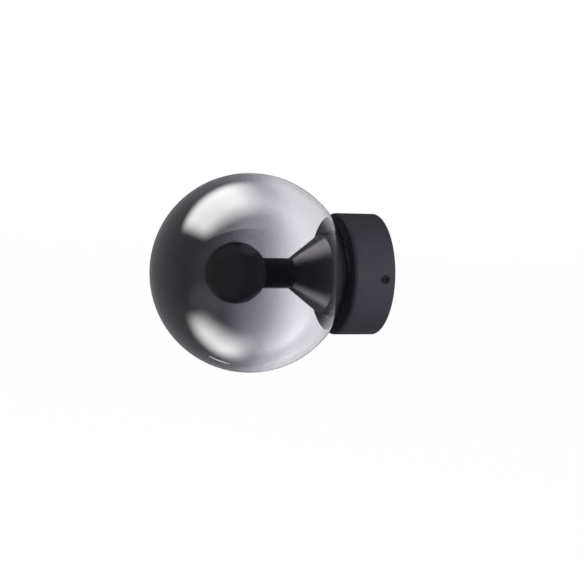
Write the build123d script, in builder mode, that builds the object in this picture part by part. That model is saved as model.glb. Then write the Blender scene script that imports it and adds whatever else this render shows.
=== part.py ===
from build123d import *
import math
import os

# Globe wall sconce, in millimetres.
# The wall is the plane Y = 0 and the lamp stands out of it along -Y, with +Z up.
# Every turned piece lies on the Y axis, and its places are distances out from the wall.

# ---- driving dimensions -------------------------------------------------------------
# canopy
canopy_radius = 62.0
canopy_depth = 43.5
canopy_wall = 1.8
canopy_edge_radius = 3.8
canopy_rim_room = 17.0          # from the globe's neck to the canopy's rim, for the studs
canopy_hole_gap = 1.6           # around the globe's neck

# glass globe
globe_radius = 100.0
globe_wall = 2.0
neck_bend_radius = 3.0          # where the neck flows into the globe
neck_bend_sink = 2.1            # how far that bend lies behind the canopy's front

# side screws, which hold the canopy on its bracket
side_screw_height = 10.5        # distance of their axis from the wall
side_screw_radius = 2.0
side_screw_hole_gap = 0.25
side_screw_length = 7.0
side_screw_head_radius = 4.3
side_screw_head_height = 2.2
side_screw_head_dome = 1.2
side_screw_socket = 2.5         # across the flats
side_screw_socket_depth = 1.4

# wall bracket
bracket_thickness = 2.0
bracket_width = 26.0
bracket_corner_radius = 3.0
bracket_bend_radius = 2.5
bracket_shoulder = 9.0          # from the end of the wide bar to the outside of a tab
tab_width = 16.0
tab_length = 16.0
tab_gap = 0.6                   # from the canopy's inner wall at the tab's edges
wall_slot_spacing = 60.0
wall_slot_width = 5.0
wall_slot_length = 14.0
tongue_margin = 3.0             # on each side of the terminal block
block_tongue_margin = 6.0       # above the terminal block
cable_tongue_width = 32.0
cable_tongue_margin = 16.0      # below the cable hole's axis
cable_hole_drop = 24.0
grommet_bore_radius = 6.5
grommet_wall = 2.0
grommet_lip = 2.0
grommet_lip_height = 1.2

# carrier plate and the studs that carry it
carrier_height = 20.0           # distance of the plate's rear face from the wall
carrier_thickness = 2.0
carrier_gap = 2.2               # from its edge to the canopy's inner wall
stud_inset = 5.5                # of the studs' axes from the plate's edge
stud_radius = 4.0
stud_count = 3
stud_screw_radius = 1.5
stud_screw_length = 12.0
stud_screw_head_radius = 3.0
stud_screw_head_height = 1.8
stud_screw_head_dome = 0.8

# seat of the globe's neck
gasket_thickness = 2.0
gasket_overhang = 1.2

# hub and cone
hub_wall = 1.5
hub_depth = 25.4
hub_corner_radius = 1.6
cone_wall = 1.4
cone_skirt = 9.8                # straight part in front of the hub
cone_length = 31.8              # of the slope
cone_lip = 5.0                  # how far the cone reaches into the hub
cone_tip_land = 0.6             # flat ring round the sleeve at the cone's tip
cone_edge_radius = 1.2
seam_radius = 0.4

# sleeve of the lampholder
sleeve_radius = 15.3
sleeve_wall = 1.3
sleeve_sink = 11.0              # how far the sleeve reaches into the cone
sleeve_length = 40.4
sleeve_floor = 1.5
sleeve_edge_radius = 0.4

# grip springs between the hub and the neck
spring_room = 3.5               # between the hub and the neck's bore
spring_count = 3
spring_thickness = 0.5
spring_arc = 14.0               # degrees of the hub that one spring covers
spring_inset = 4.5              # of the springs' feet from the hub's rear
spring_foot = 5.0
spring_bow = 10.0               # length of the bowed part
rivet_radius = 1.2
rivet_head_radius = 2.0
rivet_head_height = 0.7

# threaded tube that ties the stack together
tie_radius = 5.0
tie_wall = 1.1
tie_overhang = 3.0              # behind the nut
tie_reach = 4.0                 # into the lampholder's floor
spacer_wall = 2.2
nut_width = 14.0                # across the flats
nut_height = 3.0
nut_corner_radius = 7.6
washer_thickness = 1.5
washer_radius = 9.0
bushing_lip = 1.0
bushing_lip_height = 1.2
bushing_length = 3.5
bushing_wall = 0.8
bushing_edge_radius = 0.5

# lampholder
holder_gap = 0.1
holder_floor = 5.0
holder_inset = 4.6              # of its front behind the sleeve's front
holder_mouth_radius = 9.2
chamber_radius = 10.5
chamber_length = 9.0
shell_wall = 0.5
shell_seat = 2.0                # from the chamber to the thread shell
shell_length = 16.5
strip_thickness = 0.5
centre_strip_width = 4.0
centre_strip_bow = 4.4          # span of the bowed part
side_strip_width = 2.0
holder_terminal_length = 3.5
holder_terminal_width = 2.8
holder_terminal_spacing = 0.4
holder_terminal_height = 4.4
terminal_wire_depth = 3.0

# lamp
ball_radius = 31.0
ball_wall = 1.2
ball_hole_radius = 5.0
lamp_neck_radius = 10.0
lamp_neck_length = 0.4
lamp_neck_bend_radius = 2.0
cap_radius = 6.95
cap_wall = 0.45
cap_length = 20.1
insulator_height = 4.0
insulator_front_radius = 5.9
insulator_rear_radius = 3.2
lamp_contact_radius = 2.4
lamp_contact_height = 0.9

# terminal block
block_length = 32.0
block_width = 17.0
block_height = 13.0
block_corner_radius = 1.5
block_start = 17.0              # height of its lower face above the axis
pole_pitch = 10.0
pole_radius = 1.9
clamp_bore_radius = 1.3
clamp_inset = 2.0
clamp_screw_spacing = 8.0
clamp_screw_radius = 1.0
clamp_screw_head_radius = 1.5
clamp_screw_head_height = 1.2
clamp_screw_rise = 5.0
barrier_width = 1.2
barrier_depth = 3.0
block_screw_radius = 1.5
block_screw_head_radius = 2.4
block_screw_head_height = 1.8
block_screw_seat = 8.0          # of the head, above the bracket

# leads and the earth point
lead_radius = 1.1
lead_height = 6.0               # distance of the loose leads from the wall
lead_spread = 1.6               # of the two leads inside the threaded tube
lead_bend_reach = 2.2           # how far the leads' bends reach into the bushing
lead_depth = 4.0                # length held in a clamp
neutral_turn_height = 12.0
neutral_turn_radius = 14.0
earth_screw_inset = 4.0         # of the earth screw from the end of the wide bar
earth_screw_radius = 2.0
earth_screw_head_radius = 3.6
earth_screw_head_height = 2.4
earth_screw_head_round = 0.8
earth_pillar_radius = 3.6
earth_tag_radius = 4.4
earth_tag_thickness = 0.8
earth_barrel_radius = 1.9
earth_barrel_reach = 10.0

# gaps
fit_gap = 0.05                  # a close fit between fixed pieces
seat_gap = 0.2                  # a seated piece that can still move
running_gap = 0.3               # between curved faces of pieces that move apart

# ---- sizes that follow: radii ----------------------------------------------------------
canopy_bore_radius = canopy_radius - canopy_wall
neck_radius = canopy_radius - canopy_rim_room
neck_bore_radius = neck_radius - globe_wall
canopy_hole_radius = neck_radius + canopy_hole_gap
carrier_radius = canopy_bore_radius - carrier_gap
stud_circle_radius = carrier_radius - stud_inset
hub_radius = neck_bore_radius - spring_room
hub_bore_radius = hub_radius - hub_wall
spring_crest_radius = neck_bore_radius - running_gap
grommet_radius = grommet_bore_radius + grommet_wall
sleeve_bore_radius = sleeve_radius - sleeve_wall
tie_hole_radius = tie_radius + fit_gap
tie_bore_radius = tie_radius - tie_wall
bushing_bore_radius = tie_bore_radius - bushing_wall
shell_bore_radius = cap_radius + running_gap
shell_radius = shell_bore_radius + shell_wall
ball_bore_radius = ball_radius - ball_wall

# ---- sizes that follow: distances from the wall ----------------------------------------
canopy_front_inside = canopy_depth - canopy_wall
carrier_front = carrier_height + carrier_thickness
gasket_front = carrier_front + gasket_thickness
neck_rim = gasket_front + seat_gap
hub_floor_front = carrier_front + hub_wall
hub_front = carrier_front + hub_depth
cone_base = hub_front + cone_skirt
cone_front = cone_base + cone_length
sleeve_rear = cone_front - sleeve_sink
sleeve_front = sleeve_rear + sleeve_length
holder_rear = sleeve_rear + sleeve_floor
holder_floor_front = holder_rear + holder_floor
holder_front = sleeve_front - holder_inset
chamber_end = holder_floor_front + chamber_length
shell_start = chamber_end + shell_seat
shell_end = shell_start + shell_length
cap_rear = shell_start
cap_front = cap_rear + cap_length
insulator_rear = cap_rear - insulator_height
lamp_contact_rear = insulator_rear - lamp_contact_height
terminal_front = holder_floor_front + holder_terminal_length
spring_foot_start = carrier_front + spring_inset
spring_foot_end = spring_foot_start + spring_foot
spring_crest = spring_foot_end + spring_bow / 2
spring_tip = spring_foot_end + spring_bow
rivet_place = (spring_foot_start + spring_foot_end) / 2
stud_screw_rear = carrier_height - stud_screw_head_height
nut_front = carrier_height - washer_thickness
nut_rear = nut_front - nut_height
tie_rear = nut_rear - tie_overhang
tie_front = holder_rear + tie_reach
bushing_mouth = tie_rear - bushing_lip_height
block_front = bracket_thickness + block_height
lead_end = holder_floor_front + terminal_wire_depth
lead_bend_radius = bushing_mouth - lead_height + lead_bend_reach

# ---- sizes that follow: places along the wall ------------------------------------------
tab_face = math.sqrt(canopy_bore_radius**2 - (tab_width / 2) ** 2) - tab_gap
bar_end = tab_face - bracket_shoulder
earth_screw_place = bar_end - earth_screw_inset
block_centre = -lead_spread     # the live pole stands over its lead
live_pole = block_centre
neutral_pole = block_centre + pole_pitch
earth_pole = block_centre - pole_pitch
block_middle = block_start + block_width / 2
block_tongue_width = block_length + 2 * tongue_margin
block_tongue_end = block_start + block_width + block_tongue_margin
cable_tongue_end = cable_hole_drop + cable_tongue_margin
wire_top = block_start + clamp_inset + lead_depth
spring_angles = [360 / spring_count * (i + 0.5) for i in range(spring_count)]

# Sketch plane through the Y axis: local x runs out from the wall, local y is the radius.
axial = Plane(origin=(0, 0, 0), x_dir=(0, -1, 0), z_dir=(-1, 0, 0))


def facing(distance):
    """Sketch plane parallel to the wall, facing away from it: local x is +X, local y is +Z."""
    return Plane(origin=(0, -distance, 0), x_dir=(1, 0, 0), z_dir=(0, -1, 0))


def upward(height):
    """Sketch plane at a height, facing up: local x is +X, local y points at the wall."""
    return Plane(origin=(0, 0, height), x_dir=(1, 0, 0), z_dir=(0, 0, 1))


def axial_at(angle):
    """The axial plane turned about the Y axis, from +Z towards +X."""
    turn = math.radians(angle)
    return Plane(origin=(0, 0, 0), x_dir=(0, -1, 0), z_dir=(-math.cos(turn), 0, math.sin(turn)))


def radial(angle, distance, radius):
    """Sketch plane at a radius, facing away from the Y axis, at a distance from the wall."""
    turn = math.radians(angle)
    out = Vector(math.sin(turn), 0, math.cos(turn))
    return Plane(origin=out * radius + Vector(0, -distance, 0), x_dir=(0, -1, 0), z_dir=out)


def nearest(sketch, *places):
    """The sketch's corners that lie at these places."""
    return [sketch.vertices().sort_by_distance(place)[0] for place in places]


def bulb_shape(radius, neck, bend):
    """Where a ball flows into a neck: from the bend's centre to the ball's, and the bend's angle."""
    run = math.sqrt((radius + bend) ** 2 - (neck + bend) ** 2)
    return run, math.degrees(math.atan2(neck + bend, run))


# ---- wall bracket ----------------------------------------------------------------------
with BuildPart() as wall_bracket:
    # the bar, with a tongue for the terminal block above and one for the cable below
    with BuildSketch(facing(0)) as bracket_flat:
        Rectangle(2 * bar_end, bracket_width)
        with Locations((block_centre, block_tongue_end / 2)):
            Rectangle(block_tongue_width, block_tongue_end)
        with Locations((0, -cable_tongue_end / 2)):
            Rectangle(cable_tongue_width, cable_tongue_end)
        fillet(bracket_flat.vertices(), bracket_corner_radius)
    extrude(amount=bracket_thickness)
    # a narrower strip, whose ends are bent outwards into tabs
    with BuildSketch(upward(-tab_width / 2)) as bracket_strip:
        with Locations((0, -tab_length / 2)):
            Rectangle(2 * tab_face, tab_length)
        fillet(bracket_strip.vertices().group_by(Axis.Y)[-1], bracket_bend_radius)
        with Locations((0, -(tab_length + bracket_thickness) / 2)):
            Rectangle(2 * (tab_face - bracket_thickness), tab_length - bracket_thickness, mode=Mode.SUBTRACT)
    extrude(amount=tab_width)
    # wall slots, cable hole, earth screw, block screws and side screws
    with BuildSketch(facing(0)):
        with GridLocations(wall_slot_spacing, 1, 2, 1):
            SlotOverall(wall_slot_length, wall_slot_width)
        with Locations((0, -cable_hole_drop)):
            Circle(grommet_radius + fit_gap)
        with Locations((-earth_screw_place, 0)):
            Circle(earth_screw_radius + fit_gap)
        with Locations((block_centre, block_middle)):
            with GridLocations(pole_pitch, 1, 2, 1):
                Circle(block_screw_radius + fit_gap)
    extrude(amount=bracket_thickness, mode=Mode.SUBTRACT)
    with BuildSketch(Plane.YZ):
        with Locations((-side_screw_height, 0)):
            Circle(side_screw_radius + fit_gap)
    extrude(amount=canopy_radius, both=True, mode=Mode.SUBTRACT)

with BuildPart() as cable_grommet:
    with BuildSketch(axial) as grommet_section:
        with BuildLine():
            Polyline(
                (0, grommet_bore_radius),
                (0, grommet_radius),
                (bracket_thickness, grommet_radius),
                (bracket_thickness, grommet_radius + grommet_lip),
                (bracket_thickness + grommet_lip_height, grommet_radius + grommet_lip),
                (bracket_thickness + grommet_lip_height, grommet_bore_radius),
                close=True,
            )
        make_face()
        rounded = nearest(
            grommet_section, (bracket_thickness + grommet_lip_height, grommet_radius + grommet_lip)
        )
        fillet(rounded, grommet_lip_height / 2)
    revolve(axis=Axis.Y)
cable_grommet.part.locate(Location((0, 0, -cable_hole_drop)))

# ---- canopy and its side screws -----------------------------------------------------------
with BuildPart() as canopy:
    with BuildSketch(axial) as canopy_section:
        with BuildLine():
            Polyline(
                (0, canopy_bore_radius),
                (0, canopy_radius),
                (canopy_depth, canopy_radius),
                (canopy_depth, canopy_hole_radius),
                (canopy_front_inside, canopy_hole_radius),
                (canopy_front_inside, canopy_bore_radius),
                close=True,
            )
        make_face()
        fillet(nearest(canopy_section, (canopy_depth, canopy_radius)), canopy_edge_radius)
        inner_corner = nearest(canopy_section, (canopy_front_inside, canopy_bore_radius))
        fillet(inner_corner, canopy_edge_radius - canopy_wall)
        fillet(nearest(canopy_section, (canopy_depth, canopy_hole_radius)), seam_radius)
    revolve(axis=Axis.Y)
    with BuildSketch(Plane.YZ):
        with Locations((-side_screw_height, 0)):
            Circle(side_screw_radius + side_screw_hole_gap)
    extrude(amount=canopy_radius, both=True, mode=Mode.SUBTRACT)

with BuildPart() as canopy_side_screws:
    head_plane = Plane(origin=(canopy_radius, -side_screw_height, 0), x_dir=(0, 1, 0), z_dir=(1, 0, 0))
    with BuildSketch(head_plane):
        Circle(side_screw_head_radius)
    extrude(amount=side_screw_head_height)
    rim = canopy_side_screws.edges().group_by(Axis.X)[-1]
    fillet(rim, side_screw_head_dome)
    with BuildSketch(head_plane):
        Circle(side_screw_radius)
    extrude(amount=-side_screw_length)
    with BuildSketch(head_plane.offset(side_screw_head_height)):
        RegularPolygon(side_screw_socket / 2, 6, major_radius=False)
    extrude(amount=-side_screw_socket_depth, mode=Mode.SUBTRACT)
    mirror(about=Plane.YZ)

# ---- studs on the canopy's front and the carrier plate on them -----------------------------
with BuildPart() as canopy_studs:
    with BuildSketch(facing(carrier_front)):
        with PolarLocations(stud_circle_radius, stud_count, start_angle=90):
            Circle(stud_radius)
    extrude(amount=canopy_front_inside - carrier_front)
    with BuildSketch(facing(carrier_front)):
        with PolarLocations(stud_circle_radius, stud_count, start_angle=90):
            Circle(stud_screw_radius + fit_gap)
    extrude(amount=stud_screw_length, mode=Mode.SUBTRACT)

with BuildPart() as carrier_plate:
    with BuildSketch(facing(carrier_height)):
        Circle(carrier_radius)
        Circle(tie_hole_radius, mode=Mode.SUBTRACT)
        with PolarLocations(stud_circle_radius, stud_count, start_angle=90):
            Circle(stud_screw_radius + fit_gap, mode=Mode.SUBTRACT)
    extrude(amount=carrier_thickness)

with BuildPart() as carrier_screws:
    with BuildSketch(facing(stud_screw_rear)):
        with PolarLocations(stud_circle_radius, stud_count, start_angle=90):
            Circle(stud_screw_head_radius)
    extrude(amount=stud_screw_head_height)
    fillet(carrier_screws.edges().group_by(Axis.Y)[-1], stud_screw_head_dome)
    with BuildSketch(facing(carrier_height)):
        with PolarLocations(stud_circle_radius, stud_count, start_angle=90):
            Circle(stud_screw_radius)
    extrude(amount=stud_screw_length)

with BuildPart() as neck_gasket:
    with BuildSketch(facing(carrier_front)):
        Circle(neck_radius + gasket_overhang)
        Circle(neck_bore_radius - gasket_overhang, mode=Mode.SUBTRACT)
    extrude(amount=gasket_thickness)

# ---- hub with its grip springs -----------------------------------------------------------
with BuildPart() as hub_drum:
    with BuildSketch(axial) as hub_section:
        with BuildLine():
            Polyline(
                (carrier_front, tie_hole_radius),
                (carrier_front, hub_radius),
                (hub_front, hub_radius),
                (hub_front, hub_bore_radius),
                (hub_floor_front, hub_bore_radius),
                (hub_floor_front, tie_hole_radius),
                close=True,
            )
        make_face()
        fillet(nearest(hub_section, (carrier_front, hub_radius)), hub_corner_radius)
        fillet(nearest(hub_section, (hub_front, hub_radius)), seam_radius)
    revolve(axis=Axis.Y)
    for angle in spring_angles:
        with BuildSketch(radial(angle, rivet_place, hub_radius - 2 * hub_wall)):
            Circle(rivet_radius + fit_gap)
        extrude(amount=3 * hub_wall, mode=Mode.SUBTRACT)

with BuildPart() as grip_springs:
    for angle in spring_angles:
        with BuildSketch(axial_at(angle - spring_arc / 2)):
            with BuildLine():
                Line((spring_foot_start, hub_radius), (spring_foot_end, hub_radius))
                ThreePointArc(
                    (spring_foot_end, hub_radius),
                    (spring_crest, spring_crest_radius - spring_thickness),
                    (spring_tip, hub_radius),
                )
                Line((spring_tip, hub_radius), (spring_tip, hub_radius + spring_thickness))
                ThreePointArc(
                    (spring_tip, hub_radius + spring_thickness),
                    (spring_crest, spring_crest_radius),
                    (spring_foot_end, hub_radius + spring_thickness),
                )
                Polyline(
                    (spring_foot_end, hub_radius + spring_thickness),
                    (spring_foot_start, hub_radius + spring_thickness),
                    (spring_foot_start, hub_radius),
                )
            make_face()
        revolve(axis=Axis.Y, revolution_arc=spring_arc)
        with BuildSketch(radial(angle, rivet_place, hub_radius - hub_wall)):
            Circle(rivet_radius + fit_gap)
        extrude(amount=3 * hub_wall, mode=Mode.SUBTRACT)

with BuildPart() as spring_rivets:
    for angle in spring_angles:
        with BuildSketch(radial(angle, rivet_place, hub_bore_radius)):
            Circle(rivet_radius)
        extrude(amount=hub_wall + spring_thickness)
        with BuildSketch(radial(angle, rivet_place, hub_radius + spring_thickness)):
            Circle(rivet_head_radius)
        extrude(amount=rivet_head_height)

# ---- threaded tube, nut, washer, bushing and spacer ------------------------------------------
with BuildPart() as tie_tube:
    with BuildSketch(facing(tie_rear)):
        Circle(tie_radius)
        Circle(tie_bore_radius, mode=Mode.SUBTRACT)
    extrude(amount=tie_front - tie_rear)

with BuildPart() as tie_nut:
    with BuildSketch(facing(nut_rear)):
        RegularPolygon(nut_width / 2, 6, major_radius=False)
        Circle(tie_hole_radius, mode=Mode.SUBTRACT)
    extrude(amount=nut_height)
    with BuildSketch(facing(nut_rear)):
        Circle(nut_corner_radius)
    extrude(amount=nut_height, mode=Mode.INTERSECT)

with BuildPart() as lock_washer:
    with BuildSketch(facing(nut_front)):
        Circle(washer_radius)
        Circle(tie_hole_radius, mode=Mode.SUBTRACT)
    extrude(amount=washer_thickness)

with BuildPart() as tube_bushing:
    with BuildSketch(axial) as bushing_section:
        with BuildLine():
            Polyline(
                (bushing_mouth, bushing_bore_radius),
                (bushing_mouth, tie_radius + bushing_lip),
                (tie_rear, tie_radius + bushing_lip),
                (tie_rear, tie_bore_radius - fit_gap),
                (tie_rear + bushing_length, tie_bore_radius - fit_gap),
                (tie_rear + bushing_length, bushing_bore_radius),
                close=True,
            )
        make_face()
        mouth = nearest(
            bushing_section,
            (bushing_mouth, bushing_bore_radius),
            (bushing_mouth, tie_radius + bushing_lip),
        )
        fillet(mouth, bushing_edge_radius)
    revolve(axis=Axis.Y)

with BuildPart() as spacer_tube:
    with BuildSketch(facing(hub_floor_front)):
        Circle(tie_hole_radius + spacer_wall)
        Circle(tie_hole_radius, mode=Mode.SUBTRACT)
    extrude(amount=sleeve_rear - hub_floor_front)

# ---- cone and sleeve -------------------------------------------------------------------------
cone_tip_radius = sleeve_radius + fit_gap + cone_tip_land
cone_slope = (hub_radius - cone_tip_radius) / (cone_front - cone_base)
cone_inward = cone_wall * math.sqrt(1 + cone_slope**2)      # the wall, measured along the radius
cone_lip_radius = hub_bore_radius - fit_gap
cone_bore_radius = cone_lip_radius - cone_wall
cone_bore_end = cone_base + (hub_radius - cone_inward - cone_bore_radius) / cone_slope
cone_hole_radius = sleeve_radius + fit_gap
cone_hole_start = cone_base + (hub_radius - cone_inward - cone_hole_radius) / cone_slope

with BuildPart() as cone_cover:
    with BuildSketch(axial) as cone_section:
        with BuildLine():
            Polyline(
                (hub_front, hub_radius),
                (cone_base, hub_radius),
                (cone_front, cone_tip_radius),
                (cone_front, cone_hole_radius),
                (cone_hole_start, cone_hole_radius),
                (cone_bore_end, cone_bore_radius),
                (hub_front - cone_lip, cone_bore_radius),
                (hub_front - cone_lip, cone_lip_radius),
                (hub_front, cone_lip_radius),
                close=True,
            )
        make_face()
        fillet(nearest(cone_section, (cone_base, hub_radius)), cone_edge_radius)
        fillet(nearest(cone_section, (hub_front, hub_radius)), seam_radius)
    revolve(axis=Axis.Y)

with BuildPart() as sleeve_tube:
    with BuildSketch(axial) as sleeve_section:
        with BuildLine():
            Polyline(
                (sleeve_rear, tie_hole_radius),
                (sleeve_rear, sleeve_radius),
                (sleeve_front, sleeve_radius),
                (sleeve_front, sleeve_bore_radius),
                (holder_rear, sleeve_bore_radius),
                (holder_rear, tie_hole_radius),
                close=True,
            )
        make_face()
        fillet(nearest(sleeve_section, (sleeve_rear, sleeve_radius)), sleeve_wall)
        rim = nearest(sleeve_section, (sleeve_front, sleeve_radius), (sleeve_front, sleeve_bore_radius))
        fillet(rim, sleeve_edge_radius)
    revolve(axis=Axis.Y)

# ---- lampholder ------------------------------------------------------------------------------
with BuildPart() as lampholder_body:
    with BuildSketch(axial):
        with BuildLine():
            Polyline(
                (holder_rear, tie_hole_radius),
                (holder_rear, sleeve_bore_radius - holder_gap),
                (holder_front, sleeve_bore_radius - holder_gap),
                (holder_front, holder_mouth_radius),
                (shell_end, shell_radius + fit_gap),
                (chamber_end, shell_radius + fit_gap),
                (chamber_end, chamber_radius),
                (holder_floor_front, chamber_radius),
                (holder_floor_front, tie_hole_radius),
                close=True,
            )
        make_face()
    revolve(axis=Axis.Y)

with BuildPart() as thread_shell:
    with BuildSketch(facing(shell_start)):
        Circle(shell_radius)
        Circle(shell_bore_radius, mode=Mode.SUBTRACT)
    extrude(amount=shell_end - shell_start)

terminal_inside = holder_terminal_spacing / 2
with BuildPart() as holder_terminals:
    for side in (-1, 1):
        with BuildSketch(facing(holder_floor_front)):
            with Locations((side * (terminal_inside + holder_terminal_width / 2), 0)):
                Rectangle(holder_terminal_width, holder_terminal_height)
        extrude(amount=holder_terminal_length)
        with BuildSketch(facing(holder_floor_front)):
            with Locations((side * lead_spread, 0)):
                Circle(lead_radius + fit_gap)
        extrude(amount=terminal_wire_depth, mode=Mode.SUBTRACT)

terminal_outside = terminal_inside + holder_terminal_width
with BuildPart() as centre_contact:
    # a bowed leaf from the live terminal over the axis, in a section through the X axis
    crest = lamp_contact_rear - seat_gap
    bow = centre_strip_bow / 2
    free_end = terminal_front + strip_thickness
    with BuildSketch(upward(-centre_strip_width / 2)):
        with BuildLine():
            Line((-terminal_outside, -terminal_front), (-bow, -terminal_front))
            ThreePointArc((-bow, -terminal_front), (0, strip_thickness - crest), (bow, -free_end))
            Line((bow, -free_end), (bow, -free_end - strip_thickness))
            ThreePointArc(
                (bow, -free_end - strip_thickness),
                (0, -crest),
                (-bow, -terminal_front - strip_thickness),
            )
            Polyline(
                (-bow, -terminal_front - strip_thickness),
                (-terminal_outside, -terminal_front - strip_thickness),
                (-terminal_outside, -terminal_front),
            )
        make_face()
    extrude(amount=centre_strip_width)

with BuildPart() as side_contact:
    # an angled strip from the neutral terminal to the rear edge of the thread shell
    with BuildSketch(upward(-side_strip_width / 2)):
        with BuildLine():
            Polyline(
                (terminal_outside, -terminal_front),
                (terminal_outside, -terminal_front + strip_thickness),
                (shell_radius - fit_gap, -terminal_front + strip_thickness),
                (shell_radius - fit_gap, -shell_start),
                (shell_bore_radius, -shell_start),
                (shell_bore_radius, -terminal_front),
                close=True,
            )
        make_face()
    extrude(amount=side_strip_width)

# ---- glass globe -----------------------------------------------------------------------------
with BuildPart() as globe_glass:
    bend_place = canopy_depth - neck_bend_sink
    bend_centre = (bend_place, neck_radius + neck_bend_radius)
    bend_run, bend_angle = bulb_shape(globe_radius, neck_radius, neck_bend_radius)
    globe_centre = bend_place + bend_run
    rim_start = neck_rim + globe_wall / 2
    with BuildSketch(axial):
        with BuildLine():
            Line((rim_start, neck_radius), (bend_place, neck_radius))
            CenterArc(bend_centre, neck_bend_radius, -90, 90 - bend_angle)
            CenterArc((globe_centre, 0), globe_radius, 180 - bend_angle, bend_angle - 180)
            Line((globe_centre + globe_radius, 0), (globe_centre + globe_radius - globe_wall, 0))
            CenterArc((globe_centre, 0), globe_radius - globe_wall, 0, 180 - bend_angle)
            CenterArc(bend_centre, neck_bend_radius + globe_wall, -bend_angle, bend_angle - 90)
            Line((bend_place, neck_bore_radius), (rim_start, neck_bore_radius))
            ThreePointArc(
                (rim_start, neck_bore_radius),
                (neck_rim, neck_radius - globe_wall / 2),
                (rim_start, neck_radius),
            )
        make_face()
    revolve(axis=Axis.Y)

# ---- lamp ------------------------------------------------------------------------------------
with BuildPart() as lamp_globe:
    lamp_place = cap_front + lamp_neck_length
    lamp_run, lamp_angle = bulb_shape(ball_radius, lamp_neck_radius, lamp_neck_bend_radius)
    ball_centre = lamp_place + lamp_run
    hole_angle = math.degrees(math.asin(ball_hole_radius / ball_bore_radius))
    hole_place = ball_centre - math.sqrt(ball_bore_radius**2 - ball_hole_radius**2)
    with BuildSketch(axial):
        with BuildLine():
            Polyline(
                (cap_front, ball_hole_radius),
                (cap_front, lamp_neck_radius),
                (lamp_place, lamp_neck_radius),
            )
            CenterArc(
                (lamp_place, lamp_neck_radius + lamp_neck_bend_radius),
                lamp_neck_bend_radius, -90, 90 - lamp_angle,
            )
            CenterArc((ball_centre, 0), ball_radius, 180 - lamp_angle, lamp_angle - 180)
            Line((ball_centre + ball_radius, 0), (ball_centre + ball_bore_radius, 0))
            CenterArc((ball_centre, 0), ball_bore_radius, 0, 180 - hole_angle)
            Line((hole_place, ball_hole_radius), (cap_front, ball_hole_radius))
        make_face()
    revolve(axis=Axis.Y)

with BuildPart() as lamp_cap:
    with BuildSketch(axial) as cap_section:
        with BuildLine():
            Polyline(
                (cap_rear, ball_hole_radius),
                (cap_rear, cap_radius),
                (cap_front, cap_radius),
                (cap_front, cap_radius - cap_wall),
                (cap_rear + cap_wall, cap_radius - cap_wall),
                (cap_rear + cap_wall, ball_hole_radius),
                close=True,
            )
        make_face()
        fillet(nearest(cap_section, (cap_rear, cap_radius)), 2 * cap_wall)
    revolve(axis=Axis.Y)

with BuildPart() as lamp_insulator:
    with BuildSketch(axial):
        with BuildLine():
            Polyline(
                (insulator_rear, 0),
                (insulator_rear, insulator_rear_radius),
                (cap_rear, insulator_front_radius),
                (cap_rear, 0),
                close=True,
            )
        make_face()
    revolve(axis=Axis.Y)

with BuildPart() as lamp_contact:
    with BuildSketch(facing(lamp_contact_rear)):
        Circle(lamp_contact_radius)
    extrude(amount=lamp_contact_height)
    fillet(lamp_contact.edges().group_by(Axis.Y)[-1], lamp_contact_height / 2)

# ---- terminal block --------------------------------------------------------------------------
with BuildPart() as terminal_block:
    with BuildSketch(facing(bracket_thickness)):
        with Locations((block_centre, block_middle)):
            RectangleRounded(block_length, block_width, block_corner_radius)
    extrude(amount=block_height)
    # barriers between the poles, with a counterbored screw through each
    with BuildSketch(facing(block_front - barrier_depth)):
        with Locations((block_centre, block_middle)):
            with GridLocations(pole_pitch, 1, 2, 1):
                Rectangle(barrier_width, block_width)
    extrude(amount=barrier_depth, mode=Mode.SUBTRACT)
    with BuildSketch(facing(bracket_thickness)):
        with Locations((block_centre, block_middle)):
            with GridLocations(pole_pitch, 1, 2, 1):
                Circle(block_screw_radius + fit_gap)
    extrude(amount=block_height, mode=Mode.SUBTRACT)
    with BuildSketch(facing(bracket_thickness + block_screw_seat)):
        with Locations((block_centre, block_middle)):
            with GridLocations(pole_pitch, 1, 2, 1):
                Circle(block_screw_head_radius + 2 * fit_gap)
            with GridLocations(pole_pitch, clamp_screw_spacing, 3, 2):
                Circle(clamp_screw_head_radius + 2 * fit_gap)
    extrude(amount=block_height - block_screw_seat, mode=Mode.SUBTRACT)
    with BuildSketch(facing(lead_height)):
        with Locations((block_centre, block_middle)):
            with GridLocations(pole_pitch, clamp_screw_spacing, 3, 2):
                Circle(clamp_screw_radius + fit_gap)
    extrude(amount=block_front - lead_height, mode=Mode.SUBTRACT)
    # a bore through each pole for the clamp and its leads
    with BuildSketch(upward(block_start)):
        with Locations((block_centre, -lead_height)):
            with GridLocations(pole_pitch, 1, 3, 1):
                Circle(pole_radius)
    extrude(amount=block_width, mode=Mode.SUBTRACT)

with BuildPart() as terminal_clamps:
    with BuildSketch(upward(block_start + clamp_inset)):
        with Locations((block_centre, -lead_height)):
            with GridLocations(pole_pitch, 1, 3, 1):
                Circle(pole_radius - fit_gap)
                Circle(clamp_bore_radius, mode=Mode.SUBTRACT)
    extrude(amount=block_width - 2 * clamp_inset)
    with BuildSketch(facing(lead_height)):
        with Locations((block_centre, block_middle)):
            with GridLocations(pole_pitch, clamp_screw_spacing, 3, 2):
                Circle(clamp_screw_radius + fit_gap)
    extrude(amount=2 * pole_radius, mode=Mode.SUBTRACT)

with BuildPart() as clamp_screws:
    clamp_screw_tip = lead_height + lead_radius + fit_gap
    with BuildSketch(facing(clamp_screw_tip)):
        with Locations((block_centre, block_middle)):
            with GridLocations(pole_pitch, clamp_screw_spacing, 3, 2):
                Circle(clamp_screw_radius)
    extrude(amount=clamp_screw_rise)
    with BuildSketch(facing(clamp_screw_tip + clamp_screw_rise)):
        with Locations((block_centre, block_middle)):
            with GridLocations(pole_pitch, clamp_screw_spacing, 3, 2):
                Circle(clamp_screw_head_radius)
    extrude(amount=clamp_screw_head_height)

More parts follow.
